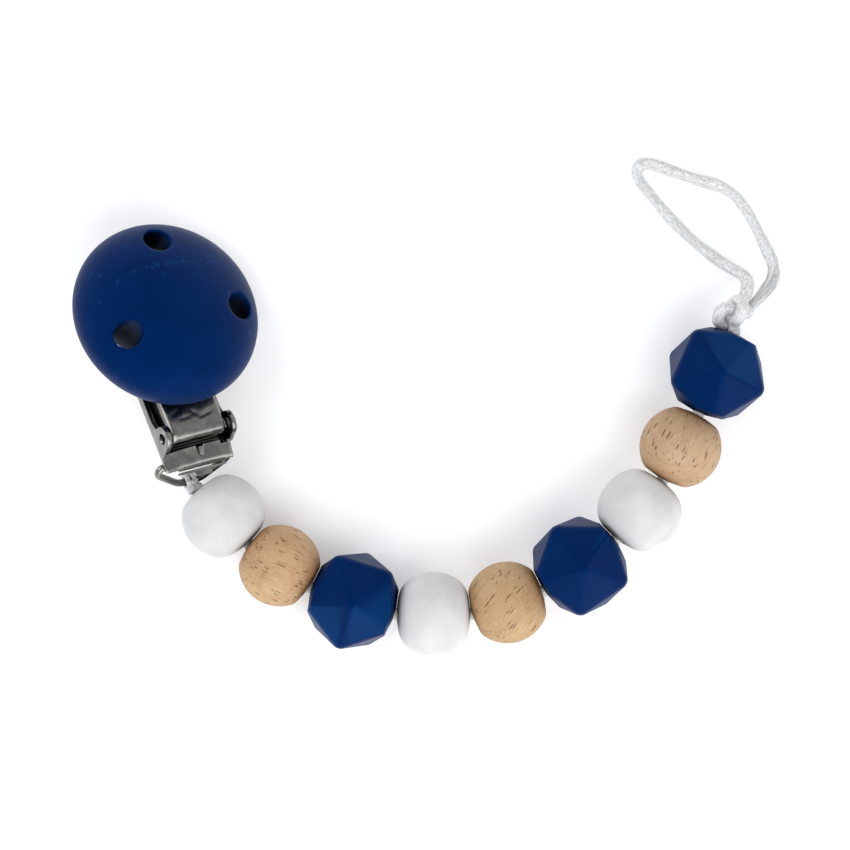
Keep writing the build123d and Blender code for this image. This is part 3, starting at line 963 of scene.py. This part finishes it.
def disc_cover():
    """Domed silicone cover with three soft-rimmed vent holes."""
    mesh = lathe("disc_cover", half_outline(), 96, closed=False)
    obj = new_object("disc_cover_moulded", mesh, CLIP)
    for angle in VENT_ANGLES:
        x = VENT_CIRCLE_R * cos(radians(angle))
        y = VENT_CIRCLE_R * sin(radians(angle))
        cut(obj, rod("vent", (x, y, -9), (x, y, 12), VENT_R - 0.15, CLIP, 48))
    remesh = obj.modifiers.new("skin", "REMESH")
    remesh.mode = "VOXEL"
    remesh.voxel_size = 0.24 * MM
    soften = obj.modifiers.new("soften", "SMOOTH")
    soften.factor = 0.5
    soften.iterations = 16
    bake(obj)
    return finish_piece(obj, navy, "lever", "disc_cover", slot="navy_silicone")


def disc_core():
    """Rigid core's boss, flush in the cover's back, with a shallow moulded ring."""
    low = -BACK_DEPTH
    corners = [(0.01, low), (3.0, low), (3.2, low + 0.25), (3.8, low + 0.25), (4.0, low), (BOSS_R, low),
               (BOSS_R, low + 1.4), (0.01, low + 1.4)]
    mesh = smoothed(lathe("disc_core_boss", rounded(corners, 0.18, 3), 80), 50)
    obj = new_object("disc_core_boss", mesh, CLIP)
    return finish_piece(obj, core_plastic, "lever", "disc_core", slot="core_plastic")


def disc_rivets():
    """Domed rivet heads under the lever."""
    top = LEVER_TOP - SHEET
    pieces = []
    for y in RIVET_Y:
        dome = [(RIVET_R * sin(a), top - 0.12 - 0.55 * cos(a)) for a in np.linspace(0.02, pi / 2, 12)]
        outline = dome + [(1.68, top + 0.05), (0.9, top + 0.05), (0.9, top + SHEET), (0.01, top + SHEET)]
        mesh = lathe("rivet", outline, 40)
        mesh.transform(Matrix.Translation((0, y * MM, 0)))
        pieces.append(new_object("rivet", mesh, CLIP))
    obj = joined("disc_rivets_set", pieces, 45)
    return finish_piece(obj, riveted, "lever", "disc_rivets", slot="rivet_steel")


# ==== clip: stamped metal ====
def channel_row(origin, normal, half_width, drop, bend_r, columns):
    """One row across a channel: flange, bend, web, bend, flange. normal points away from the flanges."""
    scale = min(1.0, drop / bend_r)
    side = []
    for a in np.linspace(0, pi / 2, 6):
        side.append((half_width - bend_r + bend_r * sin(a), bend_r * scale * (1 - cos(a))))
    for t in (0.25, 0.5, 0.75, 1.0):
        side.append((half_width, bend_r * scale + (drop - bend_r * scale) * t + 1e-4 * t))
    web = [(x, 0.0) for x in np.linspace(-half_width + bend_r, half_width - bend_r, columns)][1:-1]
    left = [(-x, d) for x, d in reversed(side)]
    row = []
    for x, depth in left + web + side:
        row.append((x, origin[0] - normal[0] * depth, origin[1] - normal[1] * depth))
    return row


def lever():
    """Cam lever: dented plate with turned-down flanges, rolled end, cheeks and pointed trunnions."""
    mid_z = LEVER_TOP - SHEET / 2
    mid_w = LEVER_HALF_WIDTH - SHEET / 2
    rows = []
    for y in np.concatenate([np.linspace(LEVER_TIP_Y, 5.5, 9), np.linspace(5.0, -13.5, 20),
                             np.linspace(-14.0, CAM_Y, 26)]):
        reach = max(0.0, (y - 5.0) / (LEVER_TIP_Y - 5.0))
        half_width = mid_w - 2.4 * (1 - sqrt(max(0.0, 1 - reach**2)))
        drop = 0.5 + (FLANGE_DROP + 0.2) * min(1, max(0, (6.0 - y) / 4.0))
        rows.append(channel_row((y, mid_z), (0, 1), half_width, drop, 0.5, 40))
    roll_r = CAM_R - SHEET / 2
    for a in np.linspace(98, 285, 24):
        out = (cos(radians(a)), sin(radians(a)))
        on_roll = (CAM_Y + roll_r * out[0], CAM_Z + roll_r * out[1])
        rows.append(channel_row(on_roll, out, mid_w, 0.5, 0.5, 40))
    # Pockets pressed in where the flanges are drawn down, beside the roll.
    dents = ((-3.4, -17.2, 1.3, 0.40, 0.10, 0.5), (0.4, -18.0, 1.0, 0.45, 0.16, -0.9),
             (2.4, -18.6, 1.5, 0.40, 0.16, 0.25), (-1.8, -18.4, 1.2, 0.35, 0.07, 0.1))
    shaped = []
    for row in rows:
        new = []
        for x, y, z in row:
            sink = 0.0
            for dx, dy, long_r, short_r, depth, turn in dents:
                u = (x - dx) * cos(turn) + (y - dy) * sin(turn)
                v = -(x - dx) * sin(turn) + (y - dy) * cos(turn)
                sink += depth * np.exp(-((u / long_r) ** 2) - (v / short_r) ** 2)
            new.append((x, y, z - sink if z > mid_z - 0.05 else z))
        shaped.append(new)
    plate = sheet("lever_plate", shaped, SHEET, CLIP)
    for y in RIVET_Y:
        cut(plate, rod("rivet_hole", (0, y, -8), (0, y, -3), 0.92, CLIP, 32))
    bake(bevel(plate, 0.12, 2, 50))
    pieces = [plate]
    for side in (-1, 1):
        pieces.append(turned("cheek", side * (LEVER_HALF_WIDTH - 1.5), side * (LEVER_HALF_WIDTH - 0.7), 1.3,
                             CAM_Y, CAM_Z))
        pieces.append(trunnion(side))
    obj = joined("lever_stamped", pieces, 38)
    return finish_piece(obj, plated, "lever", "lever", slot="plated_steel")


def turned(name, x_low, x_high, radius, y, z):
    """Round boss along x between two positions, its rims rounded."""
    low, high = sorted((x_low, x_high))
    corners = [(0.01, low), (radius, low), (radius, high), (0.01, high)]
    mesh = lathe(name, rounded(corners, 0.12, 3), 48)
    turn = Matrix.Translation((0, y * MM, z * MM)) @ Matrix.Rotation(pi / 2, 4, "Y")
    mesh.transform(turn)
    return new_object(name, mesh, CLIP)


def trunnion(side):
    """Half-round pin through the base's ear, sheared to a point."""
    mid = PIN_Z - 0.05
    rows = []
    stations = ((LEVER_HALF_WIDTH - 1.2, 1.0), (BASE_HALF_WIDTH - 0.6, 1.0), (BASE_HALF_WIDTH + 0.1, 0.92),
                (BASE_HALF_WIDTH + 0.45, 0.6), (BASE_HALF_WIDTH + 0.65, 0.16))
    for x, size in stations:
        row = []
        for a in np.linspace(0, pi, 15):
            row.append((side * x, PIN_Y + 0.66 * size * cos(a), mid - 0.2 - 0.6 * size * sin(a)))
        for t in np.linspace(1, -1, 7)[1:-1]:
            row.append((side * x, PIN_Y - 0.66 * size * t, mid - 0.2 + 0.3 * size * (1 - t * t)))
        rows.append(row)
    obj = new_object("trunnion", grid("trunnion", rows, wrap=True, caps=True), CLIP)
    return bake(bevel(obj, 0.06, 2, 40))


def wall_top(y):
    """Height of the base's side wall at y, the ear included."""
    plain = BASE_BOTTOM + WALL_HEIGHT
    if y > 5.0:
        return plain + (BASE_FLOOR - plain) * min(1, (y - 5.0) / (JAW_Y - 5.0))
    if abs(y - PIN_Y) <= EAR_R:
        return PIN_Z + sqrt(EAR_R**2 - (y - PIN_Y) ** 2)
    if y > PIN_Y:
        t = (y - PIN_Y - EAR_R) / (4.0 - EAR_R)
        return max(plain, PIN_Z - 1.0 + (plain - PIN_Z + 1.0) * min(1, t))
    t = (PIN_Y - EAR_R - y) / (PIN_Y - EAR_R - BASE_NEAR_Y)
    return PIN_Z + (plain - PIN_Z) * min(1, t)


def base_frame():
    """Channel with ears, jaw teeth, a window, and a near end rolled over the ring's bar."""
    mid_z = BASE_BOTTOM + SHEET / 2
    mid_w = BASE_HALF_WIDTH - SHEET / 2
    ys = np.concatenate([np.linspace(JAW_Y, 5.0, 12), np.linspace(4.5, PIN_Y + 4.6, 24),
                         np.linspace(PIN_Y + 4.2, PIN_Y + EAR_R + 0.1, 8),
                         PIN_Y + EAR_R * np.cos(np.linspace(0.05, pi - 0.05, 31)),
                         np.linspace(PIN_Y - EAR_R - 0.1, BASE_NEAR_Y, 4)])
    rows = []
    for y in ys:
        corner = max(0.0, y - (JAW_Y - 1.6)) * 0.9
        rows.append(channel_row((y, mid_z), (0, -1), mid_w - corner, max(0.9, wall_top(y) - mid_z), 0.7, 30))
    channel = sheet("base_channel", rows, SHEET, CLIP)
    cut(channel, rod("pin_hole", (-9, PIN_Y, PIN_Z), (9, PIN_Y, PIN_Z), PIN_HOLE_R, CLIP, 40))
    window = oblong(-WINDOW_HALF_WIDTH, WINDOW_HALF_WIDTH, *WINDOW_Y, 0.8)
    cut(channel, prism("window", window, -11, -8.8, CLIP))
    bake(bevel(channel, 0.11, 2, 45))
    pieces = [channel, near_end(), lanced_tab(), front_tab()] + jaw_teeth()
    obj = joined("base_stamped", pieces, 38)
    return finish_piece(obj, plated, "base", "base_frame", slot="plated_steel")


def near_end():
    """Strap from the channel's floor, rolled over the ring's bar to a wide lip, a little off centre."""
    mid_z = BASE_BOTTOM + SHEET / 2
    roll_r = CURL_R - SHEET / 2
    widening = LIP_HALF_WIDTH - STRAP_HALF_WIDTH
    path = [(y, mid_z, STRAP_HALF_WIDTH) for y in np.linspace(BASE_NEAR_Y + 1.2, CURL_Y + 0.2, 10)]
    for a in np.linspace(270, 90, 28):
        widen = min(1, max(0, (152 - a) / 14))
        path.append((CURL_Y + roll_r * cos(radians(a)), CURL_Z + roll_r * sin(radians(a)),
                     STRAP_HALF_WIDTH + widening * widen))
    for t in np.linspace(0.08, 1, 12):
        half_width = LIP_HALF_WIDTH + 0.2 * t - 0.5 * max(0.0, (t - 0.7) / 0.3) ** 2
        path.append((CURL_Y + LIP_REACH * t, CURL_Z + roll_r + 0.55 * t * t, half_width))
    rows = []
    for y, z, half_width in path:
        wide = min(1, max(0, (half_width - STRAP_HALF_WIDTH) / widening))
        half_width += 0.4 * wide
        rows.append([(x + LIP_SLIDE * wide, y - 0.35 * (x / LIP_HALF_WIDTH) ** 2 * wide, z)
                     for x in np.linspace(-half_width, half_width, 41)])
    strap_end = sheet("near_end", rows, SHEET * 0.8, CLIP)
    top_y = CURL_Y + LIP_REACH
    for x_low, x_high, depth, corner in ((4.0, 5.5, 0.9, 0.3), (-0.9, 0.6, 0.75, 0.2)):
        notch = oblong(x_low, x_high, top_y - depth, top_y + 2, corner)
        cut(strap_end, prism("notch", notch, CURL_Z + 0.9, CURL_Z + 4, CLIP))
    return bake(bevel(strap_end, 0.1, 2, 45))


def lanced_tab():
    """Pointed tab pushed out of the lip."""
    high = CURL_Y + 1.6
    corners = [(-0.6, high), (0.45, high), (0.45, high - 1.1), (-0.05, high - 1.7), (-0.6, high - 1.1)]
    outline = rounded(corners, 0.12, 3)
    top = CURL_Z + CURL_R
    rows = [[(x, y, top + dz + 0.25 * (y - high + 1.7)) for x, y in outline] for dz in (-0.25, 0.22)]
    obj = new_object("lanced_tab", grid("lanced_tab", rows, wrap=True, caps=True), CLIP)
    return bake(bevel(obj, 0.08, 2, 40))


def front_tab():
    """Thin turned-up edge below the roll, with a small rounded tab."""
    y = CURL_Y - CURL_R
    corners = [(-5.0, y - 0.1), (4.9, y - 0.1), (4.9, y - 0.5), (1.8, y - 0.5), (1.5, y - 1.5),
               (-1.5, y - 1.5), (-1.8, y - 0.5), (-5.0, y - 0.5)]
    obj = prism("front_tab", rounded(corners, 0.35, 4), CURL_Z - 0.75, CURL_Z - 0.35, CLIP)
    return bake(bevel(obj, 0.1, 2, 40))


def jaw_teeth():
    """Row of pointed teeth across the jaw end."""
    pitch = 2.08
    teeth = []
    for i in range(5):
        x = (i - 2) * pitch
        corners = [(x - 0.95, BASE_FLOOR - 0.1), (x + 0.95, BASE_FLOOR - 0.1), (x, BASE_FLOOR + 1.3)]
        outline = rounded(corners, 0.15, 3)
        rows = [[(u, y, v) for u, v in outline] for y in (JAW_Y - SHEET, JAW_Y)]
        obj = new_object("tooth", grid("tooth", rows, wrap=True, caps=True), CLIP)
        teeth.append(bake(bevel(obj, 0.08, 2, 40)))
    return teeth


def jaw_plate():
    """Sprung inner jaw: hooked knuckle, raised web with a stiffening rib, stepped tip."""
    rise = CAM_Z - CAM_R - 0.12 - 0.3
    tip_z = BASE_FLOOR + 0.9 + 0.1 + 0.3
    tip_y = JAW_Y - 0.9
    bend_y = tip_y - 4.1
    path = rounded([(PIN_Y - 1.5, BASE_FLOOR + 0.6), (PIN_Y - 0.3, rise), (bend_y - 2.0, rise),
                    (bend_y, tip_z), (tip_y, tip_z)], 0.8, 6, closed=False)
    fine = []
    for (ya, za), (yb, zb) in zip(path, path[1:]):
        steps = max(1, round(abs(yb - ya) / 0.6))
        fine += [(ya + (yb - ya) * k / steps, za + (zb - za) * k / steps) for k in range(steps)]
    fine.append(path[-1])
    rows = []
    for y, z in fine:
        row = []
        for x in np.linspace(-JAW_HALF_WIDTH, JAW_HALF_WIDTH, 41):
            run = min(1, max(0, (y + 15) / 2)) * min(1, max(0, (2 - y) / 2))
            row.append((x, y, z - 0.28 * run * np.exp(-((x / 1.1) ** 2))))
        rows.append(row)
    plate = sheet("jaw_plate", rows, 0.6, CLIP)
    bake(bevel(plate, 0.1, 2, 50))
    knuckle = turned("knuckle", -JAW_HALF_WIDTH, JAW_HALF_WIDTH, 0.5, PIN_Y - 1.5, BASE_FLOOR + 0.55)
    obj = joined("jaw_plate_pressed", [plate, knuckle], 38)
    return finish_piece(obj, sprung, "jaw", "jaw_plate", slot="spring_steel")


def jaw_pad():
    """Plastic pad with rounded cross ridges under the jaw plate's tip."""
    far_y = JAW_Y - 0.9
    near_y = far_y - PAD_LENGTH
    top = BASE_FLOOR + 0.95
    outline = [(far_y, top), (near_y, top)]
    for i in range(49):
        t = i / 48
        ridge = 0.30 * abs(sin(4 * pi * t)) ** 0.7
        outline.append((near_y + PAD_LENGTH * t, BASE_FLOOR + 0.36 - ridge))
    rows = [[(x, y, z) for y, z in outline] for x in (-JAW_HALF_WIDTH, JAW_HALF_WIDTH)]
    obj = new_object("jaw_pad_ridged", grid("jaw_pad_ridged", rows, wrap=True, caps=True), CLIP)
    bake(bevel(obj, 0.12, 3, 50), 40)
    return finish_piece(obj, pad_plastic, "jaw", "jaw_pad", slot="pad_plastic")


def ring_point(x, out):
    """Point on the ring's plane: x across, and a distance out from its bar."""
    droop = radians(RING_DROOP)
    return Vector((x + RING_SLIDE, CURL_Y - out * cos(droop), CURL_Z - out * sin(droop)))


def wire_ring():
    """Bent wire ring, with a flattened butt joint in its bar."""
    half = [(0.2, 0), (RING_HALF_WIDTH, 0), (RING_SHOULDER_HALF_WIDTH, RING_SHOULDER),
            (RING_FAR_HALF_WIDTH, RING_HEIGHT)]
    corners = [ring_point(x, out) for x, out in half] + [ring_point(-x, out) for x, out in reversed(half)]
    coarse = [Vector(p) for p in rounded([tuple(c) for c in corners], 1.1, 10, closed=False)]
    fine = []
    for a, b in zip(coarse, coarse[1:]):
        steps = max(1, round((b - a).length / 0.35))
        fine += [a.lerp(b, k / steps) for k in range(steps)]
    fine.append(coarse[-1])
    ways, sides = frames_along(fine)
    rows = [hoop(point, way, side, WIRE_R, 24) for point, way, side in zip(fine, ways, sides)]
    obj = new_object("wire_ring_bent", grid("wire_ring_bent", rows, wrap=True, caps=True), CLIP)
    bake(obj, 50)
    return finish_piece(obj, drawn, "ring", "wire_ring", slot="wire_steel")


for make in (disc_cover, disc_core, disc_rivets, lever, base_frame, jaw_plate, jaw_pad, wire_ring):
    make()


# ==== floor, light and world ====
def area_light(name, energy, size, location, target, colour=(1, 1, 1)):
    light = bpy.data.lights.new(name, "AREA")
    light.energy = energy
    light.size = size
    light.color = colour
    obj = bpy.data.objects.new(name, light)
    bpy.context.scene.collection.objects.link(obj)
    obj.location = location
    obj.rotation_mode = "QUATERNION"
    obj.rotation_quaternion = (Vector(target) - Vector(location)).to_track_quat("-Z", "Y")


def studio():
    """Pale floor, a soft low key light from the near right, and a bright horizon."""
    mesh = bpy.data.meshes.new("floor")
    corners = [(-FLOOR_HALF, -FLOOR_HALF, 0), (FLOOR_HALF, -FLOOR_HALF, 0), (FLOOR_HALF, FLOOR_HALF, 0),
               (-FLOOR_HALF, FLOOR_HALF, 0)]
    mesh.from_pydata(corners, [], [(0, 1, 2, 3)])
    floor = new_object("floor", mesh, Matrix())
    s = Shader("floor_paper")
    s.set(Base_Color=s.mix(s.noise(s.place, 40, 2), (0.93, 0.93, 0.93), (0.96, 0.96, 0.96)), Roughness=0.9)
    s.set(Specular_IOR_Level=0.1)
    s.set(Emission_Color=(1.0, 1.0, 1.0, 1), Emission_Strength=0.16)
    mesh.materials.append(s.material)

    world = bpy.data.worlds.new("studio")
    bpy.context.scene.world = world
    world.use_nodes = True
    nodes, links = world.node_tree.nodes, world.node_tree.links
    coordinates = nodes.new("ShaderNodeTexCoord")
    split = nodes.new("ShaderNodeSeparateXYZ")
    ramp = nodes.new("ShaderNodeValToRGB")
    ramp.color_ramp.elements[0].position = 0.0
    ramp.color_ramp.elements[0].color = (1.0, 1.0, 1.0, 1)
    ramp.color_ramp.elements[1].position = 0.95
    ramp.color_ramp.elements[1].color = (0.30, 0.31, 0.33, 1)
    links.new(coordinates.outputs["Generated"], split.inputs["Vector"])
    links.new(split.outputs["Z"], ramp.inputs["Fac"])
    links.new(ramp.outputs["Color"], nodes["Background"].inputs["Color"])
    nodes["Background"].inputs["Strength"].default_value = 1.08

    area_light("key", 3.8, 0.75, (0.22, -0.40, 0.42), (0, 0, 0))
    area_light("fill", 2.4, 0.6, (-0.45, 0.25, 0.5), (0, 0, 0), (0.97, 0.98, 1.0))
    scene = bpy.context.scene
    scene.view_settings.view_transform = "Standard"
    scene.view_settings.look = "None"
    scene.view_settings.exposure = 0
    scene.view_settings.gamma = 1


studio()
